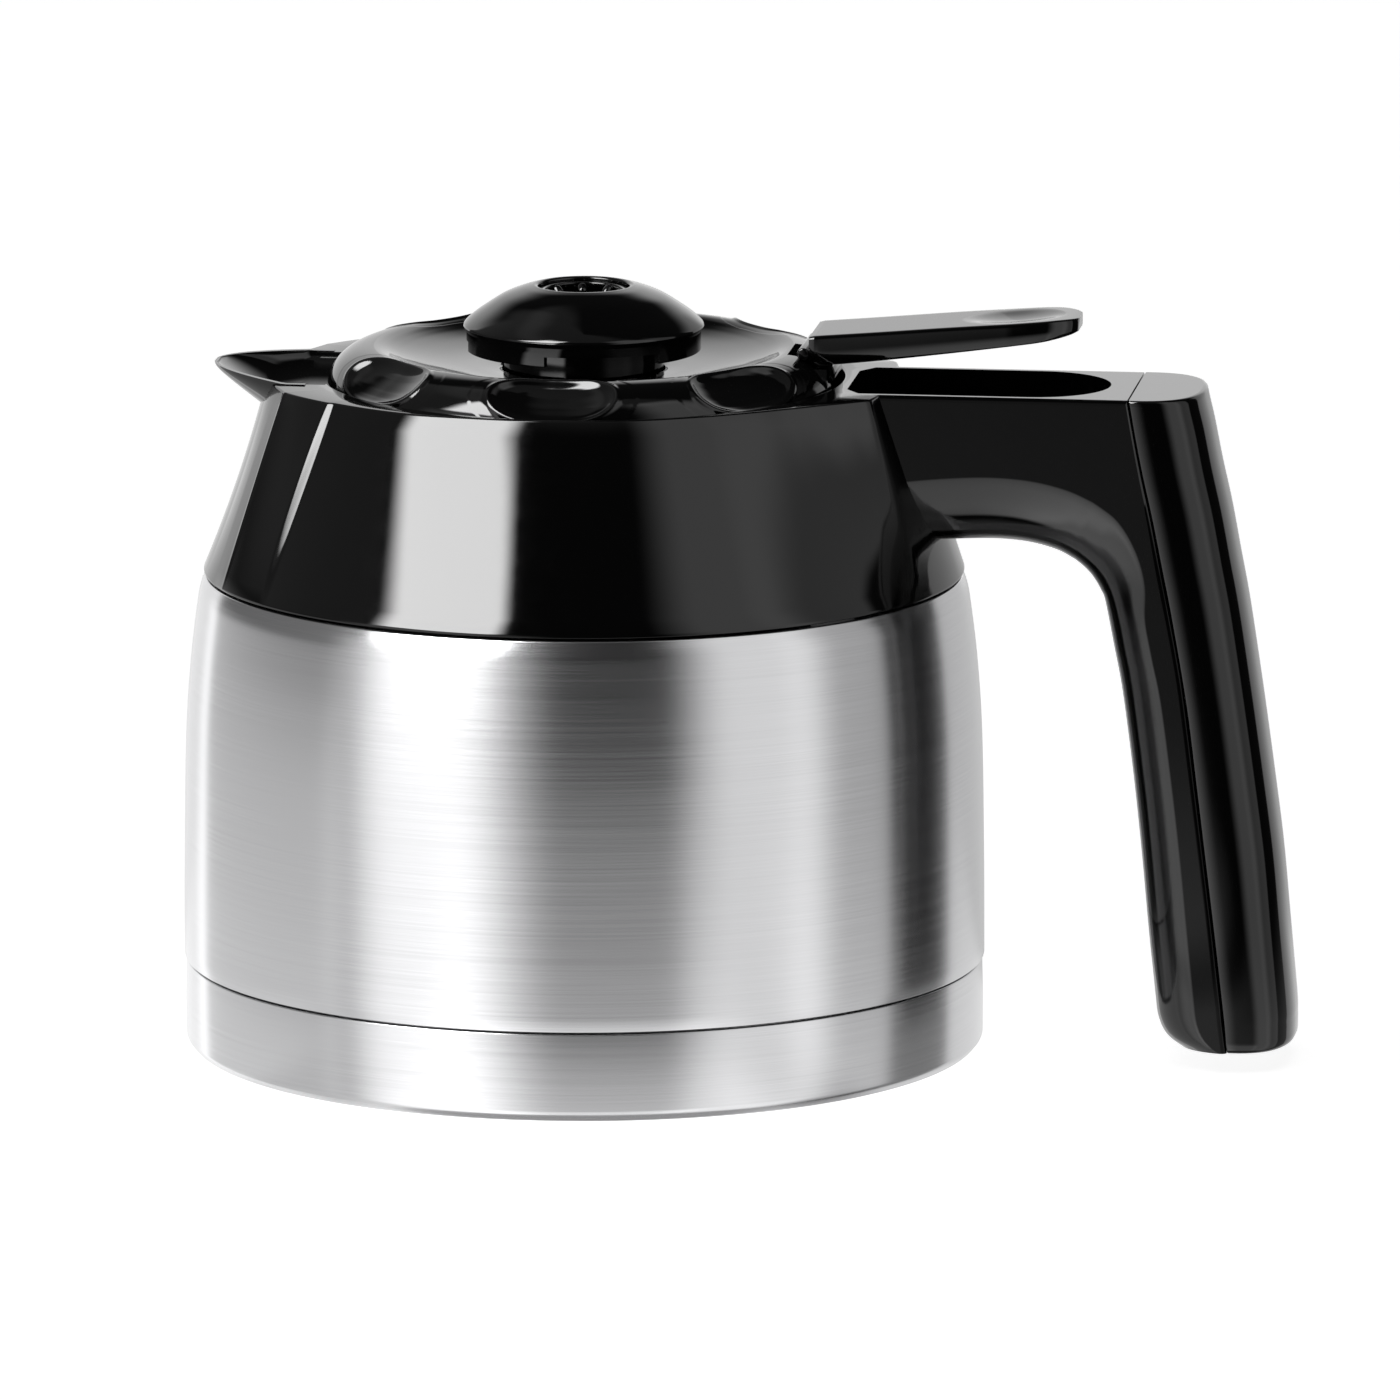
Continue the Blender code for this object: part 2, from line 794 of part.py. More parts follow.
def make_valve():
    """The dome, the drip tube and the valve plate, which rise together."""
    dome = turned(
        "valve_cap",
        (
            (9.4, 140.3),
            (12.5, 139.6),
            (15.8, 138.0),
            (18.8, 135.8),
            (21.86, 133.2),
            (21.3, 132.7),
            (21.3, 129.4),
            (19.7, 129.4),
            (19.7, 132.2),
            (17.2, 134.8),
            (TUBE_R, 136.4),
            (TUBE_R, 119.1),
            (12.5, 119.1),
            (12.5, 137.2),
            (8.3, 138.6),
            (8.3, 139.9),
        ),
        "black_gloss",
        SMALL_STEPS,
    )
    for index in range(3):
        middle = math.radians(120.0 * index - 72.0)
        rings = []
        for z in (128.0, 131.0):
            ring = []
            for step in range(5):
                turn = middle + math.radians(15.0 * (step - 2))
                ring.append((18.0 * math.cos(turn), 18.0 * math.sin(turn), z))
            for step in range(4, -1, -1):
                turn = middle + math.radians(15.0 * (step - 2))
                ring.append((24.0 * math.cos(turn), 24.0 * math.sin(turn), z))
            rings.append(ring)
        cut(dome, skinned("skirt_gap_%d" % index, rings, None))
    grate = turned(
        "drip_grate",
        (
            (8.0, 139.4),
            (8.0, 137.5),
            (10.4, 137.3),
            (10.4, 136.3),
            (6.9, 136.0),
            (6.9, 139.4),
        ),
        "black_gloss",
        SMALL_STEPS,
    )
    for index in range(8):
        turn = math.radians(45.0 * index + 10.0)
        x = 6.6 * math.cos(turn)
        y = 6.6 * math.sin(turn)
        join(grate, rod("peg_%d" % index, 1.0, (x, y, 136.4), (x, y, 138.9), None, 8))
    turned(
        "valve_stem",
        (
            (12.2, 127.0),
            (12.2, 118.8),
            (27.5, 118.8),
            (27.5, 117.4),
            (TUBE_R, 117.4),
            (TUBE_R, 95.0),
            (12.6, 94.0),
            (10.0, 94.0),
            (10.0, 127.0),
        ),
        "black_matt",
        SMALL_STEPS,
    )
    turned(
        "valve_plate",
        ((19.5, PLATE_TOP), (19.5, 101.0), (TUBE_R + GAP, 101.0), (TUBE_R + GAP, PLATE_TOP)),
        "black_matt",
        SMALL_STEPS,
    )
    turned(
        "valve_seal",
        ((18.9, 100.7), (18.9, 100.1), (TUBE_R + GAP, 100.1), (TUBE_R + GAP, 100.7)),
        "silicone",
        SMALL_STEPS,
    )


def make_spring():
    """The compression spring between the guide plate and the valve plate."""
    wire = 0.4
    coil = 17.0
    turns = 4.5
    per_turn = 14
    low = PLATE_TOP + GAP + wire
    high = GUIDE_LOW - GAP - wire
    count = int(turns * per_turn)
    rings = []
    for i in range(count + 1):
        share = i / count
        turn = 2 * math.pi * turns * share
        z = low + (high - low) * share
        ring = []
        for j in range(6):
            around = 2 * math.pi * j / 6
            radius = coil + wire * math.cos(around)
            spot = (radius * math.cos(turn), radius * math.sin(turn), z + wire * math.sin(around))
            ring.append(spot)
        rings.append(ring)
    skinned("valve_spring", rings, "bright_steel", smooth_degrees=80.0)


clear_scene()
jug = new_collection("thermal_coffee_jug")
helpers = new_collection("forming_helpers")
make_body()
make_collar()
make_cover()
make_lid()
make_lever()
make_valve()
make_spring()
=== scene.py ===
"""Looks of the thermal coffee jug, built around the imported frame. Lengths are millimetres unless said."""
import json
import math

import bmesh
import bpy
import numpy as np
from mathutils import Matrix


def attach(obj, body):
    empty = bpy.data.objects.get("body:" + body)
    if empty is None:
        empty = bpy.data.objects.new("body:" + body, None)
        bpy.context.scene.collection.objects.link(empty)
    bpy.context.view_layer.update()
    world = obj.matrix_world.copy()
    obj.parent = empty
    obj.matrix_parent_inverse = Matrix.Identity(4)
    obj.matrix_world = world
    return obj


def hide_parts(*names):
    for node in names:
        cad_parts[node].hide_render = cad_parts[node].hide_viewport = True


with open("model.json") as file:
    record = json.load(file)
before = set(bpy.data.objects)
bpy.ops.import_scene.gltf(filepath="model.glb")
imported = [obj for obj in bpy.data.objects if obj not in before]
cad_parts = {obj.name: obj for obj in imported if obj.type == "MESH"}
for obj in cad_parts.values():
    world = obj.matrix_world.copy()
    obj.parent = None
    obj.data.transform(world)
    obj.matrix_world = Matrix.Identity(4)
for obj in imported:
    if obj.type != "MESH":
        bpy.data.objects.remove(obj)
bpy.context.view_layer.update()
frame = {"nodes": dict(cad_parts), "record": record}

MM = 0.001
RIM_Z = 123.6
COLLAR_FOOT = 87.7
COLLAR_FOOT_R = 69.5
COLLAR_WALL = 2.4
BORE_R = 47.5
WEB_LOW = 115.2
WEB_TOP = 118.3
HANDLE_HALF = 15.6
SCREW_Z = 117.2
STOPPER_R = 40.3
PIVOT_X = 44.0
PIVOT_Z = 125.4
PIN_WAY_R = 1.42
EAR_INNER = 6.0
EAR_OUTER = 9.2


# ---------------------------------------------------------------- curves and meshes
def run(points, count):
    """A smooth curve through the points, as count samples."""
    p = np.array(points, float)
    p = np.vstack([2 * p[0] - p[1], p, 2 * p[-1] - p[-2]])
    spans = len(p) - 3
    out = []
    for k in range(count):
        t = k / (count - 1) * spans
        i = min(int(t), spans - 1)
        f = t - i
        a, b, c, d = p[i], p[i + 1], p[i + 2], p[i + 3]
        out.append(0.5 * (2 * b + (c - a) * f + (2 * a - 5 * b + 4 * c - d) * f * f
                          + (3 * b - a - 3 * c + d) * f ** 3))
    return [tuple(v) for v in out]


def fillet(points, radii, steps=5):
    """Rounds the corners of a closed polygon; a radius of 0 keeps a corner, one number rounds all."""
    p = [np.array(v, float) for v in points]
    n = len(p)
    radii = radii if hasattr(radii, "__len__") else [radii] * n
    out = []
    for i in range(n):
        here = p[i]
        if radii[i] <= 0:
            out.append(tuple(here))
            continue
        before, after = p[i - 1] - here, p[(i + 1) % n] - here
        la, lb = np.linalg.norm(before), np.linalg.norm(after)
        ua, ub = before / la, after / lb
        turn = math.pi - math.acos(max(-1.0, min(1.0, float(ua @ ub))))
        reach = min(radii[i] * math.tan(turn / 2), 0.46 * la, 0.46 * lb)
        a, b = here + ua * reach, here + ub * reach
        for k in range(steps + 1):
            t = k / steps
            out.append(tuple((1 - t) ** 2 * a + 2 * t * (1 - t) * here + t * t * b))
    return out


def build(name, verts, faces, smooth=32.0):
    """A mesh object from points in millimetres, smooth up to the given angle in degrees."""
    mesh = bpy.data.meshes.new(name)
    mesh.from_pydata((np.array(verts, float) * MM).tolist(), [], faces)
    work = bmesh.new()
    work.from_mesh(mesh)
    bmesh.ops.remove_doubles(work, verts=work.verts, dist=1e-6)
    bmesh.ops.recalc_face_normals(work, faces=work.faces)
    work.to_mesh(mesh)
    work.free()
    mesh.shade_smooth()
    mesh.set_sharp_from_angle(angle=math.radians(smooth))
    made = bpy.data.objects.new(name, mesh)
    bpy.context.scene.collection.objects.link(made)
    return made


def skin(name, rings, around=False, smooth=32.0):
    """A skin over rings of equal length, closed on itself if around, or else capped."""
    size = len(rings[0])
    verts = [v for ring in rings for v in ring]
    faces = []
    for i in range(len(rings) if around else len(rings) - 1):
        low, high = i * size, ((i + 1) % len(rings)) * size
        for j in range(size):
            k = (j + 1) % size
            faces.append((low + j, low + k, high + k, high + j))
    if not around:
        faces.append(tuple(range(size)))
        faces.append(tuple(range(len(verts) - size, len(verts))))
    return build(name, verts, faces, smooth)


def lathe(name, profile, steps=192, smooth=32.0):
    """A closed (radius, height) outline turned about the upright axis."""
    rings = []
    for i in range(steps):
        a = 2 * math.pi * i / steps
        rings.append([(r * math.cos(a), r * math.sin(a), z) for r, z in profile])
    return skin(name, rings, True, smooth)


def solid_lathe(name, profile, steps):
    """An outline that starts and ends on the upright axis, turned about it."""
    rim = [p for p in profile if p[0] > 1e-6]
    verts = [(0.0, 0.0, profile[0][1]), (0.0, 0.0, profile[-1][1])]
    size = len(rim)
    for i in range(steps):
        a = 2 * math.pi * i / steps
        verts += [(r * math.cos(a), r * math.sin(a), z) for r, z in rim]
    faces = []
    for i in range(steps):
        a, b = 2 + i * size, 2 + ((i + 1) % steps) * size
        faces.append((0, a, b))
        for j in range(size - 1):
            faces.append((a + j, a + j + 1, b + j + 1, b + j))
        faces.append((a + size - 1, 1, b + size - 1))
    return build(name, verts, faces)


def box(name, low, high):
    """An upright box between two opposite corners."""
    ring = [(low[0], low[1]), (high[0], low[1]), (high[0], high[1]), (low[0], high[1])]
    return skin(name, [[(x, y, z) for x, y in ring] for z in (low[2], high[2])])


def bar(name, radius, start, end, steps=48, rounding=0.0):
    """A round bar between two points, with softened ends."""
    a, b = np.array(start, float), np.array(end, float)
    length = np.linalg.norm(b - a)
    along = (b - a) / length
    side = np.cross(along, (0.0, 0.0, 1.0) if abs(along[2]) < 0.9 else (1.0, 0.0, 0.0))
    side /= np.linalg.norm(side)
    up = np.cross(along, side)
    stops = [(0.0, radius)]
    if rounding:
        turns = [math.pi / 2 * k / 5 for k in range(6)]
        stops = [(rounding * (1 - math.sin(t)), radius - rounding * (1 - math.cos(t)))
                 for t in reversed(turns)]
    stops += [(length - s, r) for s, r in reversed(stops)]
    rings = []
    for s, r in stops:
        ring = []
        for i in range(steps):
            t = 2 * math.pi * i / steps
            ring.append(tuple(a + along * s + r * (math.cos(t) * side + math.sin(t) * up)))
        rings.append(ring)
    return skin(name, rings)


def boolean(base, others, operation):
    """Joins or cuts with other meshes, which are then removed."""
    for other in others:
        change = base.modifiers.new("shape", "BOOLEAN")
        change.operation = operation
        change.solver = "EXACT"
        change.object = other
    graph = bpy.context.evaluated_depsgraph_get()
    mesh = bpy.data.meshes.new_from_object(base.evaluated_get(graph))
    base.modifiers.clear()
    old = base.data
    base.data = mesh
    bpy.data.meshes.remove(old)
    for other in others:
        bpy.data.objects.remove(other)


def edges(item, smooth):
    """Smooth shading, with edges over the given angle in degrees kept sharp."""
    item.data.shade_smooth()
    item.data.set_sharp_from_angle(angle=math.radians(smooth))


# ---------------------------------------------------------------- materials
def tree(name):
    """A new material, its node tree and its shader."""
    made = bpy.data.materials.new(name)
    made.use_nodes = True
    return made, made.node_tree, made.node_tree.nodes["Principled BSDF"]


def noise(nodes, links, scale, detail):
    """A noise field over the object."""
    place = nodes.new("ShaderNodeTexCoord")
    field = nodes.new("ShaderNodeTexNoise")
    field.inputs["Scale"].default_value = scale
    field.inputs["Detail"].default_value = detail
    links.new(place.outputs["Object"], field.inputs["Vector"])
    return field.outputs["Fac"]


def spread(nodes, links, value, low, high, start=0.3, end=0.7):
    """Turns a value between start and end into one between low and high."""
    change = nodes.new("ShaderNodeMapRange")
    change.inputs["From Min"].default_value = start
    change.inputs["From Max"].default_value = end
    change.inputs["To Min"].default_value = low
    change.inputs["To Max"].default_value = high
    links.new(value, change.inputs["Value"])
    return change.outputs["Result"]


def bump(nodes, links, shader, height, strength, distance):
    """Fine relief from a height field; the distance is in metres."""
    made = nodes.new("ShaderNodeBump")
    made.inputs["Strength"].default_value = strength
    made.inputs["Distance"].default_value = distance
    links.new(height, made.inputs["Height"])
    links.new(made.outputs["Normal"], shader.inputs["Normal"])


def plastic(name, colour, rough_low, rough_high, wave=0.02):
    """Moulded plastic: a faint waviness of the gloss and fine differences in polish."""
    made, net, shader = tree(name)
    nodes, links = net.nodes, net.links
    shader.inputs["Base Color"].default_value = (*colour, 1.0)
    shader.inputs["IOR"].default_value = 1.5
    polish = noise(nodes, links, 260.0, 6.0)
    links.new(spread(nodes, links, polish, rough_low, rough_high), shader.inputs["Roughness"])
    bump(nodes, links, shader, noise(nodes, links, 90.0, 2.0), wave, 0.0004)
    return made


def cylinder_lines(nodes, links, fine, long):
    """Noise in long strokes round the upright axis, from the angle and the height of each point."""
    place = nodes.new("ShaderNodeTexCoord")
    split = nodes.new("ShaderNodeSeparateXYZ")
    links.new(place.outputs["Object"], split.inputs["Vector"])
    angle = nodes.new("ShaderNodeMath")
    angle.operation = "ARCTAN2"
    links.new(split.outputs["Y"], angle.inputs[0])
    links.new(split.outputs["X"], angle.inputs[1])
    join = nodes.new("ShaderNodeCombineXYZ")
    links.new(angle.outputs["Value"], join.inputs["X"])
    links.new(split.outputs["Z"], join.inputs["Z"])
    shape = nodes.new("ShaderNodeMapping")
    shape.inputs["Scale"].default_value = (long, 1.0, fine)
    links.new(join.outputs["Vector"], shape.inputs["Vector"])
    field = nodes.new("ShaderNodeTexNoise")
    field.inputs["Scale"].default_value = 1.0
    field.inputs["Detail"].default_value = 4.0
    field.inputs["Roughness"].default_value = 0.65
    links.new(shape.outputs["Vector"], field.inputs["Vector"])
    return field.outputs["Fac"]


def steel(name, rough, anisotropic, lines, colour=(0.62, 0.62, 0.63)):
    """Stainless steel brushed round the upright axis: the strokes change gloss, tone and relief."""
    duller, brighter, uneven = 0.86, 1.13, 0.03
    made, net, shader = tree(name)
    nodes, links = net.nodes, net.links
    shader.inputs["Metallic"].default_value = 1.0
    shader.inputs["Anisotropic"].default_value = anisotropic
    shader.inputs["Anisotropic Rotation"].default_value = 0.25
    way = nodes.new("ShaderNodeTangent")
    way.direction_type = "RADIAL"
    way.axis = "Z"
    links.new(way.outputs["Tangent"], shader.inputs["Tangent"])
    streak = cylinder_lines(nodes, links, 5200.0, 0.9)
    broad = cylinder_lines(nodes, links, 1100.0, 0.5)
    mixed = nodes.new("ShaderNodeMath")
    mixed.operation = "MULTIPLY_ADD"
    links.new(broad, mixed.inputs[0])
    mixed.inputs[1].default_value = 0.35
    links.new(streak, mixed.inputs[2])
    polish = spread(nodes, links, mixed.outputs["Value"], rough - uneven, rough + uneven, 0.45, 0.95)
    links.new(polish, shader.inputs["Roughness"])
    tint = nodes.new("ShaderNodeMix")
    tint.data_type = "RGBA"
    tint.inputs["A"].default_value = (*[c * duller for c in colour], 1.0)
    tint.inputs["B"].default_value = (*[min(1.0, c * brighter) for c in colour], 1.0)
    links.new(mixed.outputs["Value"], tint.inputs["Factor"])
    links.new(tint.outputs["Result"], shader.inputs["Base Color"])
    bump(nodes, links, shader, streak, lines, 0.00001)
    return made


def rubber(name, colour, rough=0.75):
    """Rubber or silicone with a fine grain."""
    made, net, shader = tree(name)
    nodes, links = net.nodes, net.links
    shader.inputs["Base Color"].default_value = (*colour, 1.0)
    grain = noise(nodes, links, 900.0, 5.0)
    links.new(spread(nodes, links, grain, rough - 0.08, rough + 0.08), shader.inputs["Roughness"])
    bump(nodes, links, shader, grain, 0.12, 0.0002)
    return made


gloss = plastic("black_gloss_plastic", (0.009, 0.009, 0.0093), 0.045, 0.07)
matt = plastic("black_matt_plastic", (0.028, 0.028, 0.029), 0.42, 0.55, 0.08)
brushed = steel("brushed_steel", 0.235, 0.8, 0.12)
bright = steel("bright_steel", 0.17, 0.3, 0.1, (0.70, 0.70, 0.71))
silicone = rubber("silicone_grey", (0.33, 0.33, 0.34), 0.5)
pad = rubber("pad_rubber_black", (0.035, 0.035, 0.036))


def wear(item, look):
    """Puts one material on a piece in place of what it had."""
    item.data.materials.clear()
    item.data.materials.append(look)
    return item


def settle(item, body, look, slot, *nodes):
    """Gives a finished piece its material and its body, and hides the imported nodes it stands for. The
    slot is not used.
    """
    wear(item, look)
    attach(item, body)
    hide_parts(*nodes)


# ---------------------------------------------------------------- steel body
def make_steel():
    """The brushed outer wall, the cup round its foot and the pad under it."""
    outside = run([(73.2, 16.75), (73.1, 34.0), (72.7, 57.0), (71.8, 71.0), (70.5, 81.8),
                   (69.9, 85.0), (69.1, 87.2)], 40)
    inside = [(68.2, 87.2), (68.4, 86.0), (69.5, 81.0), (70.9, 70.0), (71.7, 57.0), (72.2, 34.0),
              (72.3, 16.75)]
    radii = [0.25] + [0.0] * (len(outside) - 2) + [0.3, 0.1, 0.0, 0.0, 0.0, 0.0, 0.0, 0.1]
    shell = lathe("steel_shell", fillet(outside + inside, radii, 3), 256)
    settle(shell, "jug", brushed, "brushed_steel", "outer_shell")
    cup = [(0.0, 2.8), (62.2, 2.8), (62.8, 0.9), (70.6, 0.9), (71.8, 1.9), (72.1, 3.6),
           (72.1, 16.3)]
    turn_in = fillet([(72.8, 16.3), (72.95, 9.0), (72.95, 1.7), (71.6, 0.12), (61.5, 0.12),
                      (61.5, 2.0), (0.0, 2.0), (0.0, 16.3)],
                     [0.25, 0.0, 1.6, 1.4, 0.3, 0.4, 0.0, 0.0], 6)[:-1]
    base = solid_lathe("steel_base_cup", cup + turn_in, 256)
    settle(base, "jug", brushed, "brushed_steel", "base_cup")
    foot = solid_lathe("base_pad_disc", [(0.0, 1.7)] + fillet(
        [(60.4, 1.7), (61.0, 1.1), (61.0, 0.6), (60.4, 0.0), (30.0, 0.0), (30.0, 1.7)],
        [0.2, 0.2, 0.2, 0.2, 0.0, 0.0], 3)[:-2] + [(0.0, 0.0)], 128)
    settle(foot, "jug", pad, "pad_rubber", "base_pad")


# ---------------------------------------------------------------- collar, spout and handle
# The rim's outline as (turn from the handle in degrees, radius). It has corners at the rows where
# the arm leaves it, where the spout's cheek starts and where the prow starts.
RIM = ((0.0, 57.5), (7.0, 57.6), (14.0, 57.8), (20.5, 58.6), (25.0, 56.0), (31.0, 53.2),
       (37.0, 51.3), (43.0, 50.1), (50.0, 49.2), (58.0, 48.8), (66.0, 48.7), (74.0, 48.7),
       (82.0, 48.7), (90.0, 48.8), (98.0, 49.1), (106.0, 49.8), (114.0, 50.8), (122.0, 51.8),
       (130.0, 52.8), (136.0, 53.6), (142.3, 54.8), (147.5, 56.0), (153.3, 57.3),
       (157.5, 57.15), (163.0, 57.3), (171.0, 57.5), (180.0, 57.6))
ARM_ROW = 3
CHEEK_ROW = 20
PROW_ROW = 22
CHEEK_STEP = (138.5, 139.9)
CHEEK_END = 153.3
CHEEK_RISE = 0.95
BEAD = 0.26


def cheek_rise(turn):
    """How proud of the cone the cheek stands: a narrow step at one edge, a bead at the other."""
    start, full = CHEEK_STEP
    bead = BEAD * math.exp(-((turn - CHEEK_END) / 0.4) ** 2)
    if turn <= start or turn >= CHEEK_END:
        return bead
    t = min(1.0, (turn - start) / (full - start))
    return bead + CHEEK_RISE * t * min(1.0, (CHEEK_END - turn) / (CHEEK_END - full))


def rim_line():
    """Angle, rim radius and rise of the cheek, at steps that are fine where the outline turns."""
    parts = [run(RIM[:ARM_ROW + 1], 60), run(RIM[ARM_ROW:CHEEK_ROW + 1], 400),
             list(RIM[CHEEK_ROW:PROW_ROW + 1]), run(RIM[PROW_ROW:], 60)]
    line = sorted(set(p for part in parts for p in part))
    step, softness = 0.05, 0.22
    dense = np.arange(-10.0, 190.01, step)
    radii = np.interp(np.minimum(np.abs(dense), 360.0 - np.abs(dense)), [p[0] for p in line],
                      [p[1] for p in line])
    rises = np.array([cheek_rise(t if t <= 180.0 else 360.0 - t) for t in dense])
    bell = np.exp(-0.5 * (np.arange(-16, 17) * step / softness) ** 2)
    radii = np.convolve(radii, bell / bell.sum(), "same")
    rises = np.convolve(rises, bell / bell.sum(), "same")
    fine = ((CHEEK_STEP[0] - 0.9, CHEEK_STEP[1] + 0.8), (CHEEK_END - 1.2, CHEEK_END + 1.2))
    turns = [t for t in np.arange(0.0, 180.01, 0.75) if not any(a < t < b for a, b in fine)]
    turns = sorted(turns + [t for a, b in fine for t in np.arange(a + 0.1, b - 0.05, 0.2)])
    half = [(t, float(np.interp(t, dense, radii)), float(np.interp(t, dense, rises)))
            for t in turns]
    return half + [(360.0 - t, r, rise) for t, r, rise in reversed(half[1:-1])]


def collar_ring(turn, top, rise):
    """A section of the collar: down the cone, in under the roof and up the bore."""
    rows = 12
    roof_z, ledge_z, ledge_r = 112.5, 116.8, 43.6
    slope = (COLLAR_FOOT_R - top) / (RIM_Z - COLLAR_FOOT)
    roof_r = top + slope * (RIM_Z - roof_z) - COLLAR_WALL
    sag = 0.8 * min(1.0, max(0.0, (22.0 - abs(turn - 180.0)) / 8.0))
    wall = []
    for k in range(rows + 1):
        t = k / rows
        proud = rise * (1.0 - 0.5 * (1.0 - t) ** 6) * (1.0 - t ** 4) - 4.0 * sag * t * (1.0 - t)
        wall.append((top + (COLLAR_FOOT_R - top) * t + proud, RIM_Z - (RIM_Z - COLLAR_FOOT) * t))
    inside = [(COLLAR_FOOT_R - COLLAR_WALL, COLLAR_FOOT), (roof_r, roof_z), (roof_r - 2.3, WEB_LOW),
              (46.4, WEB_LOW), (46.4, ledge_z), (ledge_r, ledge_z), (ledge_r, WEB_TOP),
              (BORE_R, WEB_TOP), (BORE_R, RIM_Z)]
    radii = [0.55] + [0.0] * (rows - 1) + [0.45, 0.3, 0.0, 0.0, 0.0, 0.0, 0.2, 0.3, 0.4, 0.45]
    a = math.radians(turn)
    return [(r * math.cos(a), r * math.sin(a), z) for r, z in fillet(wall + inside, radii, 4)]


# Stations along the handle's front half: (x, z) on the inner line, then on the outer line.
ARM_TOP = (((64.3, 95.9), (54.0, RIM_Z)), ((70.0, 96.2), (64.0, RIM_Z)),
           ((76.5, 96.4), (74.0, RIM_Z)), ((82.5, 95.9), (84.0, RIM_Z)),
           ((87.5, 94.6), (93.0, RIM_Z)), ((90.8, 92.9), (100.9, RIM_Z)))
GRIP = (((90.8, 92.9), (100.9, RIM_Z)), ((92.3, 91.7), (102.1, 117.0)),
        ((93.6, 90.4), (103.5, 110.0)), ((94.6, 89.0), (105.3, 102.0)),
        ((95.5, 87.4), (107.1, 93.0)), ((96.3, 85.4), (108.9, 84.0)),
        ((97.9, 77.4), (110.5, 75.5)), ((99.5, 69.0), (111.7, 67.8)),
        ((101.5, 54.1), (113.6, 53.0)), ((103.1, 39.6), (115.3, 39.3)),
        ((104.5, 24.8), (117.0, 25.5)), ((105.9, 11.6), (118.6, 11.8)))
GRIP_END = (((105.9, 11.6), (118.6, 11.8)), ((106.2, 9.4), (118.8, 9.6)),
            ((107.0, 7.0), (119.1, 7.2)), ((108.3, 5.2), (119.35, 5.3)),
            ((110.6, 3.6), (119.6, 3.7)))


UNDER_EDGE = math.radians(24.0)
GRIP_ROUND = 8.5
GRIP_EDGE = 0.7
SUPPORT = 0.3
CREASE_GRIP = 7.7
CREASE_ARM = 12.5
ARM_START_Z = 80.0
ARM_FULL_Z = 114.0


def stations(table, count):
    """The stations on a smooth line, as count pairs of inner and outer points."""
    flat = run([(a[0], a[1], b[0], b[1]) for a, b in table], count)
    return [((v[0], v[1]), (v[2], v[3])) for v in flat]


def handle_ring(inner, outer, steps=14):
    """A section of the handle's front half: rounded at the inner line, deeper under the arm than
    on the grip, and nearly square at the outer line. Support rows keep the side flat."""
    half, edge = HANDLE_HALF, GRIP_EDGE
    on_arm = min(1.0, max(0.0, (outer[1] - ARM_START_Z) / (ARM_FULL_Z - ARM_START_Z)))
    crease = CREASE_GRIP + (CREASE_ARM - CREASE_GRIP) * on_arm * on_arm * (3.0 - 2.0 * on_arm)
    deep = crease / (1 - math.sin(UNDER_EDGE))
    inner, outer = np.array(inner), np.array(outer)
    length = np.linalg.norm(outer - inner)
    along = (outer - inner) / length
    flat = [(length, -half + edge + SUPPORT), (length, -half + edge),
            (length - 0.3 * edge, -half + 0.3 * edge), (length - edge, -half),
            (length - edge - SUPPORT, -half), (crease + SUPPORT, -half)]
    for i in range(steps + 1):
        turn = UNDER_EDGE + (math.pi / 2 - UNDER_EDGE) * i / steps
        flat.append((deep * (1 - math.sin(turn)),
                     -(half - GRIP_ROUND) - GRIP_ROUND * math.cos(turn) / math.cos(UNDER_EDGE)))
    flat += [(depth, -across) for depth, across in reversed(flat)]
    return [((inner + d * along)[0], w, (inner + d * along)[1]) for d, w in flat]


SPOUT_TIP_X = -67.8
SPOUT_ROOT_X = -48.5
SPOUT_HALF = 18.6
SPOUT_WALL = 1.3
KEEL_SLOPE = 0.72


def spout_size(x):
    """Half width, lowest height and lip height of the beak at a distance from the axis."""
    reach = x - SPOUT_TIP_X
    half = min(4.8 * math.sqrt(max(reach, 0.02)), SPOUT_HALF)
    lip = RIM_Z + 0.2 + 0.07 * max(0.0, -52.0 - x)
    keel = max(124.2 - KEEL_SLOPE * reach, 116.2)
    return half, min(keel, lip - 0.4), lip


def bowl(x, half, lip, low, steps=32):
    """Half an ellipse across the beak, hanging from the lip."""
    return [(x, -half * math.cos(math.pi * i / steps),
             lip - (lip - low) * math.sin(math.pi * i / steps)) for i in range(steps + 1)]


def spout_forms():
    """The beak, and the trough to be cut into it. The trough stops short of the tip."""
    length = SPOUT_ROOT_X - SPOUT_TIP_X - 0.15
    xs = [SPOUT_ROOT_X - length * (1 - (1 - k / 26) ** 1.6) for k in range(27)]
    beak_rings, trough_rings = [], []
    for x in xs:
        half, keel, lip = spout_size(x)
        beak_rings.append(bowl(x, half, lip, keel))
    for x in [-45.0, -47.0] + [x for x in xs if x > SPOUT_TIP_X + 0.9] + [SPOUT_TIP_X + 0.7]:
        half, keel, lip = spout_size(x)
        floor = min(max(keel + SPOUT_WALL, 118.8), lip - 0.3)
        wide = max(half - SPOUT_WALL, 0.25)
        trough_rings.append([(x, -wide, lip + 3.0)] + bowl(x, wide, lip, floor)
                            + [(x, wide, lip + 3.0)])
    return skin("beak_form", beak_rings), skin("trough_form", trough_rings)


def channel_form():
    """The channel that the lever sinks into: round at its far end, with cut corners at the lid."""
    half, start, end, floor = 13.7, 49.4, 96.4, 111.5
    ring = [(start + 2.5, -half), (start, -half + 4.0), (start, half - 4.0), (start + 2.5, half)]
    for i in range(33):
        turn = math.pi / 2 - math.pi * i / 32
        ring.append((end - half + half * math.cos(turn), half * math.sin(turn)))
    return skin("channel_form", [[(x, y, z) for x, y in ring] for z in (floor, RIM_Z + 3.0)])


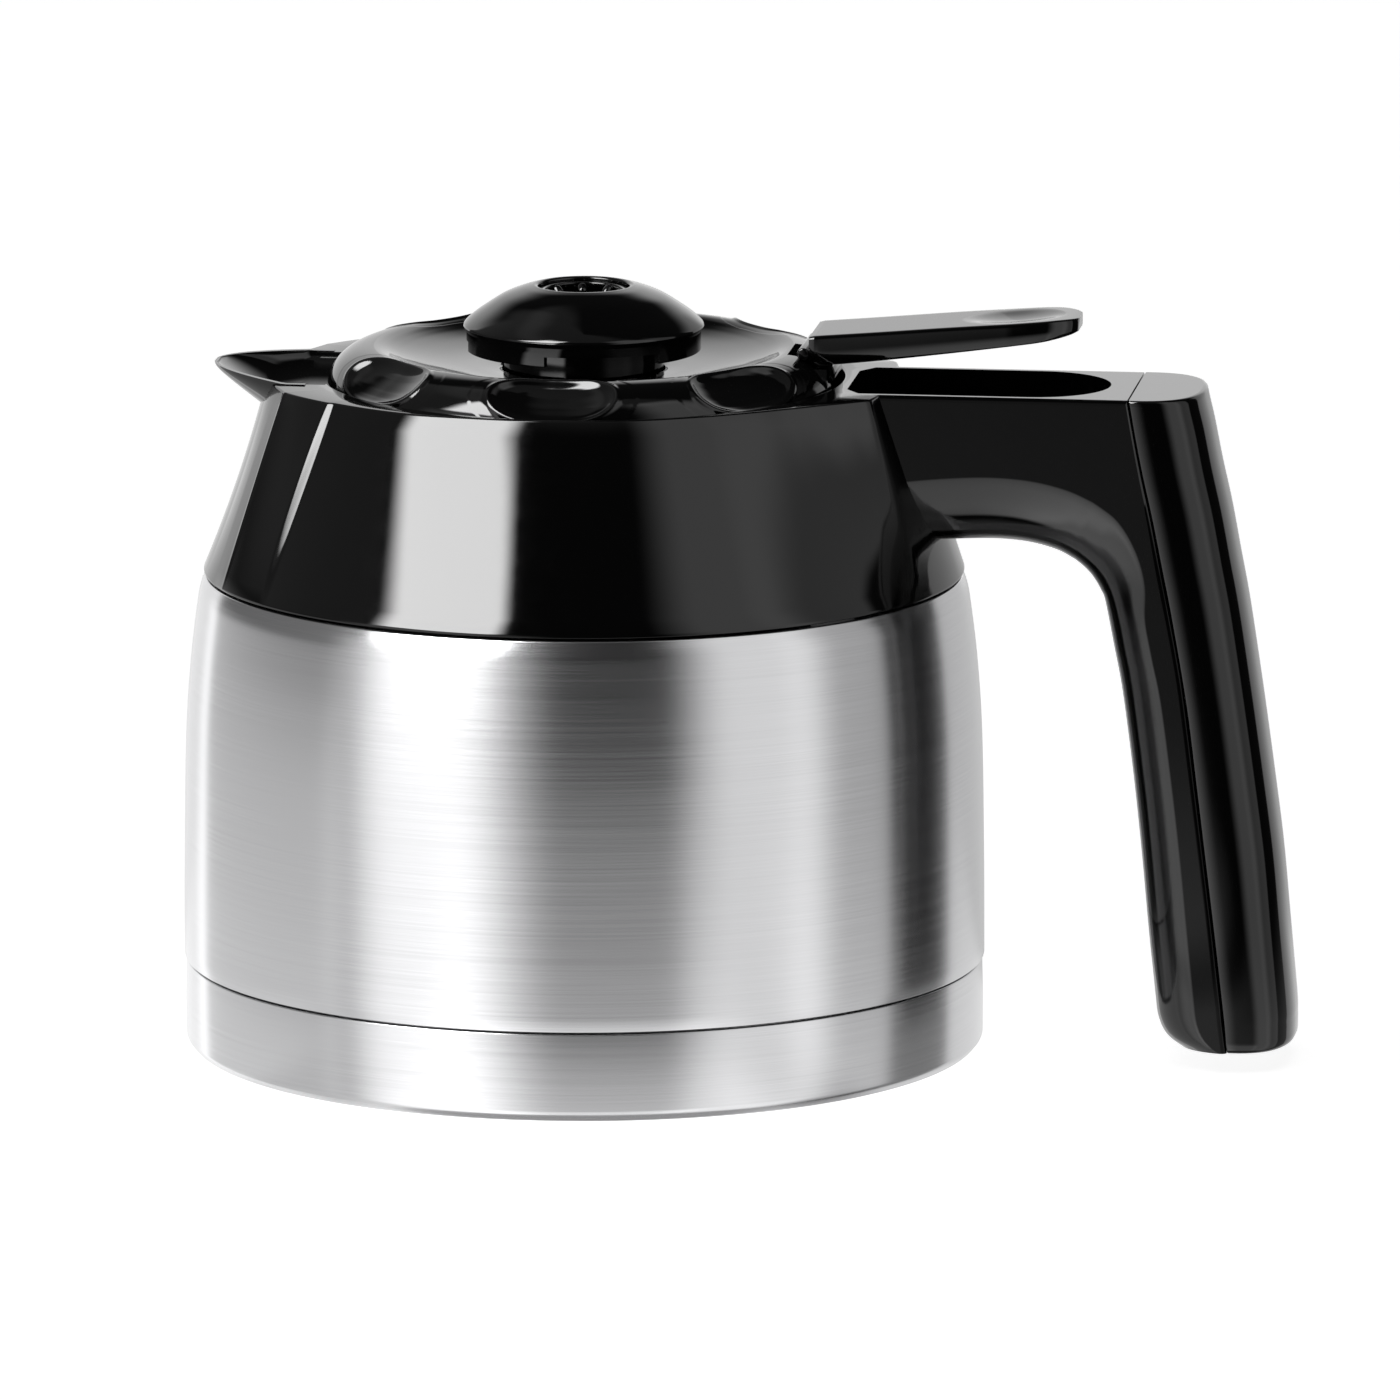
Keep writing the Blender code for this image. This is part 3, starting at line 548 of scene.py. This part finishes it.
def make_collar():
    collar = skin("collar_moulding", [collar_ring(*row) for row in rim_line()], True)
    line = stations(ARM_TOP, 26)[:-1] + stations(GRIP, 70)[:-1] + stations(GRIP_END, 10)
    arm = skin("arm_form", [handle_ring(inner, outer) for inner, outer in line])
    beak, trough = spout_forms()
    boolean(collar, [arm, beak], "UNION")
    hole = bar("screw_way", 1.9, (90.0, 0.0, SCREW_Z), (106.0, 0.0, SCREW_Z), 24)
    boolean(collar, [trough, channel_form(), hole], "DIFFERENCE")
    edges(collar, 30.0)
    settle(collar, "jug", gloss, "black_gloss", "collar")


# Levels of the rear cover: height, x of the seam, x of the back; at the ends also how far it draws in.
COVER = ((122.6, 101.42, 113.9), (121.0, 101.7, 114.25), (117.0, 102.4, 115.2),
         (110.0, 103.8, 116.6), (102.0, 105.6, 118.4), (93.0, 107.4, 120.1),
         (84.0, 109.2, 121.8), (67.8, 112.0, 124.3), (53.0, 113.9, 126.4), (39.3, 115.6, 128.2),
         (25.5, 117.3, 129.5), (11.8, 118.9, 130.8), (8.0, 119.3, 130.95), (5.4, 119.5, 130.95))
COVER_TOP = ((RIM_Z, 101.25, 112.9, 0.58), (RIM_Z, 101.2, 113.0, 0.5),
             (RIM_Z - 0.12, 101.22, 113.45, 0.2), (RIM_Z - 0.45, 101.3, 113.75, 0.0))
COVER_FOOT = ((4.7, 119.6, 130.9, 0.05), (4.1, 119.65, 130.6, 0.25), (3.7, 119.7, 129.9, 0.7),
              (3.55, 119.75, 129.2, 1.3), (3.55, 119.8, 129.0, 1.45))
COVER_CURVE = 2 / 2.7


def make_cover():
    """The rear cover: a straight seam with softened edges, closed by a superellipse."""
    levels = list(COVER_TOP) + [row + (0.0,) for row in run(COVER, 90)] + list(COVER_FOOT)
    rings = []
    for z, seam, back, inset in levels:
        deep = back - seam
        half = HANDLE_HALF - inset
        side = [(0.0, half - 0.6), (0.0, half - 0.3), (0.08, half - 0.08), (0.3, half)]
        for i in range(3, 41):
            t = 0.5 * math.pi * (1.0 - i / 40)
            side.append((deep * math.cos(t) ** COVER_CURVE, half * math.sin(t) ** COVER_CURVE))
        ring = [(x, -y) for x, y in side[:-1]] + [(x, y) for x, y in reversed(side)]
        rings.append([(seam + x, y, z) for x, y in ring])
    cover = skin("handle_cover_shell", rings, smooth=40.0)
    settle(cover, "jug", gloss, "black_gloss", "handle_cover")


# ---------------------------------------------------------------- lid
SCOOPS = (40.0, 90.0, 140.0, 220.0, 270.0, 320.0)
SCOOP_AT_R = 45.5
SCOOP_MIDDLE = 8.7
SCOOP_HALF = 5.7
SCOOP_WIDE = 11.6
SCOOP_DEEP = 2.75
SCOOP_BEAD = 0.3


def hinge_bar(name, radius, half, steps, rounding=0.0):
    """A bar on the thumb lever's hinge line."""
    return bar(name, radius, (PIVOT_X, -half, PIVOT_Z), (PIVOT_X, half, PIVOT_Z), steps, rounding)


def lid_profile():
    """Outline of the lid, from the hole at the dome outward over the crest and back underneath."""
    top = run([(15.2, 125.0), (18.0, 125.2), (22.0, 125.4), (26.0, 125.85), (30.0, 126.6),
               (33.0, 127.4), (34.7, 128.02)], 30)
    crest = run([(34.95, 128.12), (36.2, 128.62), (37.6, 128.98), (38.9, 129.0), (41.0, 128.6),
                 (43.0, 127.75), (44.8, 126.3), (46.0, 124.5), (46.6, 122.7), (46.9, 120.9)], 90)
    band = [(46.9, 120.5 - 0.4 * k) for k in range(4)]
    under = [(46.6, 119.0), (45.2, 119.0), (44.9, 119.4), (44.9, 122.0), (43.5, 123.4),
             (42.8, 123.6), (38.0, 123.6), (33.0, 124.0), (15.2, 123.1), (14.9, 123.3),
             (14.9, 124.8)]
    return top + crest + band + under, len(top), len(top) + len(crest) + len(band)


def scoop_depth(turn, s):
    """How deep the finger hollows are at an angle and a distance along the outline: each is an oval
    bowl with a low bead round its mouth."""
    depth = 0.0
    for middle in SCOOPS:
        off = (turn - middle + 180.0) % 360.0 - 180.0
        u = math.radians(off) * SCOOP_AT_R / SCOOP_WIDE
        v = (s - SCOOP_MIDDLE) / SCOOP_HALF
        q = abs(u) ** 2.4 + abs(v) ** 2.2
        if q < 2.2:
            t = 1.0 - q
            soft = 0.5 * (t + math.sqrt(t * t + 0.004))
            depth += SCOOP_DEEP * soft ** 0.6 - SCOOP_BEAD * math.exp(-((q - 1.18) / 0.16) ** 2)
    return depth


def make_lid():
    """The lid's cover with its finger hollows and hinge ears, and the pin between the ears."""
    profile, first, last = lid_profile()
    p = np.array(profile)
    ahead = np.roll(p, -1, 0) - np.roll(p, 1, 0)
    ahead /= np.linalg.norm(ahead, axis=1)[:, None]
    inward = np.stack([-ahead[:, 1], ahead[:, 0]], 1)
    core = np.array([40.0, 122.0])
    inward *= np.sign((inward * (core - p)).sum(1))[:, None]
    along = np.concatenate([[0.0], np.cumsum(np.linalg.norm(np.diff(p, axis=0), axis=1))])
    along -= along[first]
    rings = []
    steps = 900
    for i in range(steps):
        turn = i * 360.0 / steps
        a = math.radians(turn)
        ring = []
        for j, (r, z) in enumerate(profile):
            d = scoop_depth(turn, along[j]) if first <= j < last else 0.0
            rr, zz = r + inward[j, 0] * d, z + inward[j, 1] * d
            ring.append((rr * math.cos(a), rr * math.sin(a), zz))
        rings.append(ring)
    cap = skin("lid_cover", rings, True, 40.0)
    ears = [box("ear_form", (41.4, low, 123.5), (45.6, high, 127.0))
            for low, high in ((-EAR_OUTER, -EAR_INNER), (EAR_INNER, EAR_OUTER))]
    boolean(cap, ears, "UNION")
    boolean(cap, [box("gap_form", (38.0, -EAR_INNER, 118.0), (52.0, EAR_INNER, 132.0)),
                  hinge_bar("pin_way", PIN_WAY_R, EAR_OUTER - 0.6, 32),
                  box("pour_form", (-50.0, -17.0, 117.0), (-43.0, 17.0, 122.6))], "DIFFERENCE")
    edges(cap, 40.0)
    settle(cap, "lid", gloss, "black_gloss", "lid_cap")
    pin = hinge_bar("hinge_pin", 1.25, EAR_OUTER - 0.7, 32, 0.35)
    settle(pin, "lid", bright, "bright_steel", "lever_pin")


# ---------------------------------------------------------------- stopper and flask
def make_stopper():
    """The stopper with its pour windows, screw holes and way for the lever's arm, and its seal."""
    inner, screw_r = STOPPER_R - 1.6, 42.35
    outline = fillet(
        [(44.4, 123.2), (44.4, 121.6), (STOPPER_R, 121.6), (STOPPER_R, 99.2), (39.1, 98.0),
         (16.0, 98.0), (16.0, 99.8), (inner, 99.8), (inner, 110.4), (36.4, 111.4), (36.4, 112.7),
         (inner, 112.7), (inner, 123.2)],
        [0.25, 0.4, 0.5, 0.6, 0.6, 0.4, 0.4, 0.4, 0.3, 0.2, 0.2, 0.2, 0.25], 4)
    stopper = lathe("stopper_shell", outline, 192, 35.0)
    cuts = [box("arm_form", (33.0, -5.7, 115.1), (46.0, 5.7, 125.0))]
    for middle in (-10.5, 0.0, 10.5):
        cuts.append(box("window_form", (-46.0, middle - 4.4, 115.2), (-33.0, middle + 4.4, 120.6)))
    for degrees in (67.5, 157.5, 202.5, 292.5):
        a = math.radians(degrees)
        x, y = screw_r * math.cos(a), screw_r * math.sin(a)
        cuts.append(bar("screw_form", 1.15, (x, y, 119.5), (x, y, 126.6), 32))
    boolean(stopper, cuts, "DIFFERENCE")
    edges(stopper, 35.0)
    settle(stopper, "lid", matt, "black_matt", "stopper_body")
    ring = fillet(
        [(42.0, 112.2), (42.0, 111.5), (41.3, 110.9), (42.0, 110.3), (42.0, 109.0), (40.6, 108.2),
         (40.6, 112.2)], [0.3, 0.2, 0.3, 0.2, 0.4, 0.1, 0.1], 4)
    settle(lathe("stopper_seal", ring, 192, 35.0), "lid", silicone, "silicone", "lid_seal")


def make_flask():
    """The flask's lining in one piece, from its floor to the flanged mouth."""
    inside = run([(58.0, 22.9), (62.5, 23.4), (65.3, 25.7), (66.5, 29.5), (66.8, 34.0),
                  (66.7, 58.0), (65.6, 75.0), (63.9, 83.0), (60.2, 89.6), (49.4, 99.0),
                  (44.2, 103.3), (42.5, 107.3), (42.3, 110.0)], 110)
    outside = run([(43.1, 110.0), (43.3, 107.6), (44.9, 104.0), (50.0, 99.7), (60.9, 90.2),
                   (64.7, 83.0), (66.4, 75.2), (67.5, 58.0), (67.6, 34.0), (67.3, 29.3),
                   (66.0, 25.1), (62.8, 22.6), (58.0, 22.1)], 110)
    lip = [(42.3, 114.1), (42.6, 114.4), (45.4, 114.4), (45.6, 114.2), (45.6, 113.7),
           (45.4, 113.5), (43.3, 113.5), (43.1, 113.3)]
    flask = solid_lathe("flask_lining", [(0.0, 22.9)] + inside + lip + outside + [(0.0, 22.1)], 224)
    settle(flask, "jug", bright, "bright_steel", "inner_base", "inner_wall", "inner_neck")


# ---------------------------------------------------------------- dome and drip opening
def make_dome():
    """The dome on its tube with three notches in its skirt, and the drip ring in its opening."""
    outside = run([(8.95, 140.2), (11.3, 139.6), (14.8, 138.2), (18.2, 136.05), (20.2, 134.6),
                   (21.6, 133.3), (21.9, 132.7)], 40)
    outline = fillet(
        [(8.3, 138.6), (8.3, 140.0)] + outside
        + [(21.35, 131.8), (21.35, 128.3), (19.7, 128.3), (19.7, 131.9), (17.2, 134.6),
           (14.5, 136.4), (14.5, 119.1), (12.5, 119.1), (12.5, 137.2)],
        [0.2, 0.45] + [0.0] * (len(outside) - 1) + [0.35, 0.12, 0.3, 0.2, 0.3, 0.3, 0.3, 0.3, 0.3, 0.3], 4)
    dome = lathe("dome_cap", outline, 224, 35.0)
    cuts = []
    for index in range(3):
        middle = 120.0 * index - 72.0
        ring = []
        for radius, order in ((18.0, range(21)), (24.0, range(20, -1, -1))):
            for step in order:
                a = math.radians(middle + 3.0 * (step - 10))
                ring.append((radius * math.cos(a), radius * math.sin(a)))
        cuts.append(skin("skirt_form", [[(x, y, z) for x, y in ring] for z in (127.0, 130.2)]))
    boolean(dome, cuts, "DIFFERENCE")
    edges(dome, 35.0)
    settle(dome, "valve", gloss, "black_gloss", "valve_cap")
    ring = lathe("drip_ring", fillet(
        [(8.0, 139.4), (8.0, 137.5), (10.4, 137.3), (10.4, 136.3), (6.9, 136.0), (6.9, 139.4)],
        [0.3, 0.2, 0.2, 0.2, 0.3, 0.3], 3), 96)
    pegs = []
    for index in range(8):
        a = math.radians(45.0 * index + 10.0)
        x, y = math.cos(a), math.sin(a)
        pegs.append(bar("peg", 0.95, (7.3 * x, 7.3 * y, 138.9), (5.5 * x, 5.5 * y, 137.3), 20, 0.8))
    boolean(ring, pegs, "UNION")
    edges(ring, 35.0)
    settle(ring, "valve", gloss, "black_gloss", "drip_grate")


# ---------------------------------------------------------------- thumb lever
# Sections of the lever: x, half width, underside and top.
LEVER = ((42.3, 9.0, 128.4, 132.8), (43.2, 9.2, 128.4, 133.0), (45.5, 9.2, 127.8, 133.2),
         (55.0, 9.3, 128.75, 134.0), (68.0, 9.4, 130.4, 135.15), (79.0, 9.4, 131.9, 136.0),
         (84.0, 9.0, 132.6, 136.4), (87.2, 7.9, 133.2, 136.6), (89.5, 6.1, 133.7, 136.6),
         (90.8, 4.0, 134.1, 136.5))
DIMPLE_X = 79.3
DIMPLE_HALF = (9.0, 7.0)
DIMPLE_DEEP = 0.8


def make_lever():
    """The thumb lever with its dimple, hub, heel and the arm that reaches into the stopper."""
    rows = [LEVER[0]] + run(LEVER[1:6], 44)[:-1] + run(LEVER[5:], 26)
    rings = []
    for x, half, low, top in rows:
        soft = min(0.75, 0.35 * half, 0.3 * (top - low))
        ring = [(-half, low + soft), (-half + 0.3 * soft, low + 0.3 * soft), (-half + soft, low),
                (half - soft, low), (half - 0.3 * soft, low + 0.3 * soft), (half, low + soft),
                (half, top - soft), (half - 0.3 * soft, top - 0.3 * soft)]
        count = 26
        for k in range(count + 1):
            y = (half - soft) * (1 - 2 * k / count)
            q = ((x - DIMPLE_X) / DIMPLE_HALF[0]) ** 2 + (y / DIMPLE_HALF[1]) ** 2
            ring.append((y, top - DIMPLE_DEEP * max(0.0, 1.0 - q) ** 1.3))
        ring.append((-half + 0.3 * soft, top - 0.3 * soft))
        ring.append((-half, top - soft))
        rings.append([(x, y, z) for y, z in ring])
    lever = skin("thumb_lever_arm", rings, smooth=35.0)
    hub = hinge_bar("hub_form", 2.7, 5.5, 48, 0.3)
    neck = box("neck_form", (42.4, -5.0, PIVOT_Z), (46.2, 5.0, 130.0))
    heel = bar("heel_form", 1.15, (41.2, -8.7, 129.6), (41.2, 8.7, 129.6), 32, 0.4)
    side = [(44.8, 123.6), (42.6, 127.4), (39.6, 122.8), (33.0, 118.6), (28.6, 116.8),
            (26.0, 116.8), (26.0, 115.0), (31.0, 115.0), (36.0, 117.0)]
    arm = skin("arm_form", [[(x, y, z) for x, z in fillet(side, 0.8, 4)] for y in (-4.5, 4.5)])
    boolean(lever, [neck, hub, arm, heel], "UNION")
    boolean(lever, [hinge_bar("hub_way", PIN_WAY_R, 8.0, 32)], "DIFFERENCE")
    edges(lever, 35.0)
    settle(lever, "thumb_lever", gloss, "black_gloss", "lever")


make_steel()
make_collar()
make_cover()
make_lid()
make_stopper()
make_flask()
make_dome()
make_lever()

KEPT = {"brushed_steel": brushed, "bright_steel": bright, "black_gloss": gloss, "black_matt": matt,
        "silicone": silicone, "pad_rubber": pad}
for row in frame["record"]["subparts"]:
    node = frame["nodes"][row["node"]]
    wear(node, KEPT[row["material_slot"]])
    edges(node, 32.0)


# ---------------------------------------------------------------- stage, light and camera
def flat(name, half, height):
    """A level square, in metres."""
    mesh = bpy.data.meshes.new(name)
    mesh.from_pydata([(-half, -half, height), (half, -half, height), (half, half, height),
                      (-half, half, height)], [], [(0, 1, 2, 3)])
    made = bpy.data.objects.new(name, mesh)
    bpy.context.scene.collection.objects.link(made)
    return made


CAMERA_TURN = 7.7
# Soft boxes of the studio, in degrees: turn from the camera's side (start, softness, end, softness),
# height (the same), brightness. The table has the turns only.
STUDIO = (
    ((-64, 9, -33, 7), (27, 5, 62, 10), 16.5),
    ((-58, 26, -44, 38), (-60, 5, 14, 14), 1.25),
    ((-140, 10, -76, 8), (14, 14, 62, 10), 0.17),
    ((-150, 30, 60, 30), (60, 10, 90, 1), 0.14),
    ((44, 22, 60, 22), (-60, 5, 58, 10), 0.95),
    ((72, 14, 97, 4), (-60, 5, 40, 20), 0.5),
    ((131, 3, 185, 5), (-60, 5, 22, 14), 0.62),
    ((-185, 5, -143, 4), (-60, 5, 20, 20), 0.95),
    ((166, 12, 185, 5), (2, 10, 26, 14), 0.5),
    ((-142, 10, -80, 10), (-60, 5, -6, 11), 0.7),
    ((-34, 12, 30, 12), (-60, 5, -26, 18), 0.85),
)
FILL = 0.02
TABLE = (((-26, 14, 24, 14), 0.34), ((52, 12, 118, 12), 0.24), ((-130, 12, -64, 12), 0.16))
TABLE_FULL = 0.10
TABLE_FADE = 0.28


def math_node(net, operation, first, second=None):
    """One arithmetic node, fed with numbers or with the outputs of other nodes."""
    made = net.nodes.new("ShaderNodeMath")
    made.operation = operation
    for index, value in enumerate((first, second)):
        if value is None:
            continue
        if isinstance(value, (int, float)):
            made.inputs[index].default_value = value
        else:
            net.links.new(value, made.inputs[index])
    return made.outputs["Value"]


def directions(net, vector):
    """Turn from the camera's side (right positive) and height, in degrees."""
    nodes, links = net.nodes, net.links
    turn = nodes.new("ShaderNodeMapping")
    turn.inputs["Rotation"].default_value = (0.0, 0.0, math.radians(-CAMERA_TURN))
    links.new(vector, turn.inputs["Vector"])
    split = nodes.new("ShaderNodeSeparateXYZ")
    links.new(turn.outputs["Vector"], split.inputs["Vector"])
    ahead = math_node(net, "MULTIPLY", split.outputs["Y"], -1.0)
    azimuth = math_node(net, "ARCTAN2", split.outputs["X"], ahead)
    height = math_node(net, "ARCSINE", split.outputs["Z"])
    return (math_node(net, "MULTIPLY", azimuth, 180 / math.pi),
            math_node(net, "MULTIPLY", height, 180 / math.pi))


def soft_band(net, value, low, low_soft, high, high_soft):
    """1 between low and high, with soft ends."""
    nodes, links = net.nodes, net.links
    parts = []
    for start, end in ((low - low_soft, low), (high + high_soft, high)):
        ramp = nodes.new("ShaderNodeMapRange")
        ramp.interpolation_type = "SMOOTHSTEP"
        ramp.inputs["From Min"].default_value = min(start, end)
        ramp.inputs["From Max"].default_value = max(start, end)
        ramp.inputs["To Min"].default_value = 0.0 if start < end else 1.0
        ramp.inputs["To Max"].default_value = 1.0 if start < end else 0.0
        links.new(value, ramp.inputs["Value"])
        parts.append(ramp.outputs["Result"])
    return math_node(net, "MULTIPLY", parts[0], parts[1])


def make_stage():
    """A plain white floor."""
    floor = flat("floor", 6.0, 0.0)
    made, net, shader = tree("floor_paper")
    shader.inputs["Base Color"].default_value = (0.9, 0.9, 0.9, 1.0)
    shader.inputs["Roughness"].default_value = 0.9
    shader.inputs["Specular IOR Level"].default_value = 0.1
    shader.inputs["Emission Color"].default_value = (1.0, 1.0, 1.0, 1.0)
    shader.inputs["Emission Strength"].default_value = 0.9
    floor.data.materials.append(made)
    floor.visible_glossy = False
    floor.visible_diffuse = False


def make_table_glow():
    """The lit table top near the jug, which only the reflections see."""
    glow = flat("table_glow", 0.6, -0.0005)
    made = bpy.data.materials.new("table_glow")
    made.use_nodes = True
    net = made.node_tree
    nodes, links = net.nodes, net.links
    nodes.remove(nodes["Principled BSDF"])
    place = nodes.new("ShaderNodeTexCoord")
    azimuth, _ = directions(net, place.outputs["Object"])
    long = nodes.new("ShaderNodeVectorMath")
    long.operation = "LENGTH"
    links.new(place.outputs["Object"], long.inputs[0])
    total = None
    for across, power in TABLE:
        part = math_node(net, "MULTIPLY", soft_band(net, azimuth, *across), power)
        total = part if total is None else math_node(net, "ADD", total, part)
    fade = soft_band(net, long.outputs["Value"], -1.0, 0.1, TABLE_FULL, TABLE_FADE)
    light = nodes.new("ShaderNodeEmission")
    links.new(math_node(net, "MULTIPLY", total, fade), light.inputs["Strength"])
    clear = nodes.new("ShaderNodeBsdfTransparent")
    both = nodes.new("ShaderNodeAddShader")
    links.new(light.outputs["Emission"], both.inputs[0])
    links.new(clear.outputs["BSDF"], both.inputs[1])
    links.new(both.outputs["Shader"], nodes["Material Output"].inputs["Surface"])
    glow.data.materials.append(made)
    glow.visible_camera = False
    glow.visible_diffuse = False
    glow.visible_shadow = False


def make_world():
    """The studio, which only reflections see, on a white background, with one weak lamp above."""
    world = bpy.data.worlds.new("studio")
    bpy.context.scene.world = world
    world.use_nodes = True
    world.cycles_visibility.diffuse = False
    net = world.node_tree
    nodes, links = net.nodes, net.links
    back = nodes["Background"]
    place = nodes.new("ShaderNodeTexCoord")
    azimuth, height = directions(net, place.outputs["Generated"])
    total = None
    for across, upright, power in STUDIO:
        part = math_node(net, "MULTIPLY", soft_band(net, azimuth, *across),
                         soft_band(net, height, *upright))
        part = math_node(net, "MULTIPLY", part, power)
        total = part if total is None else math_node(net, "ADD", total, part)
    total = math_node(net, "ADD", total, FILL)
    grey = nodes.new("ShaderNodeCombineColor")
    for channel in ("Red", "Green", "Blue"):
        links.new(total, grey.inputs[channel])
    links.new(grey.outputs["Color"], back.inputs["Color"])
    seen = nodes.new("ShaderNodeLightPath")
    white = nodes.new("ShaderNodeBackground")
    white.inputs["Color"].default_value = (1.0, 1.0, 1.0, 1.0)
    pick = nodes.new("ShaderNodeMixShader")
    links.new(seen.outputs["Is Camera Ray"], pick.inputs["Fac"])
    links.new(back.outputs["Background"], pick.inputs[1])
    links.new(white.outputs["Background"], pick.inputs[2])
    links.new(pick.outputs["Shader"], nodes["World Output"].inputs["Surface"])
    lamp = bpy.data.lights.new("overhead", "AREA")
    lamp.shape = "DISK"
    lamp.size = 2.6
    lamp.energy = 9.0
    top = bpy.data.objects.new("overhead", lamp)
    top.location = (-0.2, -0.2, 2.2)
    top.visible_glossy = False
    bpy.context.scene.collection.objects.link(top)


CAMERA_PLACE = (0.4203, -3.1001, 0.6758)
CAMERA_DOWN = 11.08
CAMERA_HEADING = 0.128
CAMERA_LENS = 449.0


def make_camera():
    """The camera of the photograph: far off, a little to the right and above. It is in metres, and
    its heading is in radians."""
    data = bpy.data.cameras.new("camera")
    data.lens = CAMERA_LENS
    data.sensor_width = 36.0
    data.clip_start = 0.1
    data.clip_end = 50.0
    camera = bpy.data.objects.new("camera", data)
    camera.location = CAMERA_PLACE
    camera.rotation_euler = (math.radians(90.0 - CAMERA_DOWN), 0.0, CAMERA_HEADING)
    bpy.context.scene.collection.objects.link(camera)
    bpy.context.scene.camera = camera


make_stage()
make_table_glow()
make_world()
make_camera()
bpy.context.scene.view_settings.view_transform = "Standard"
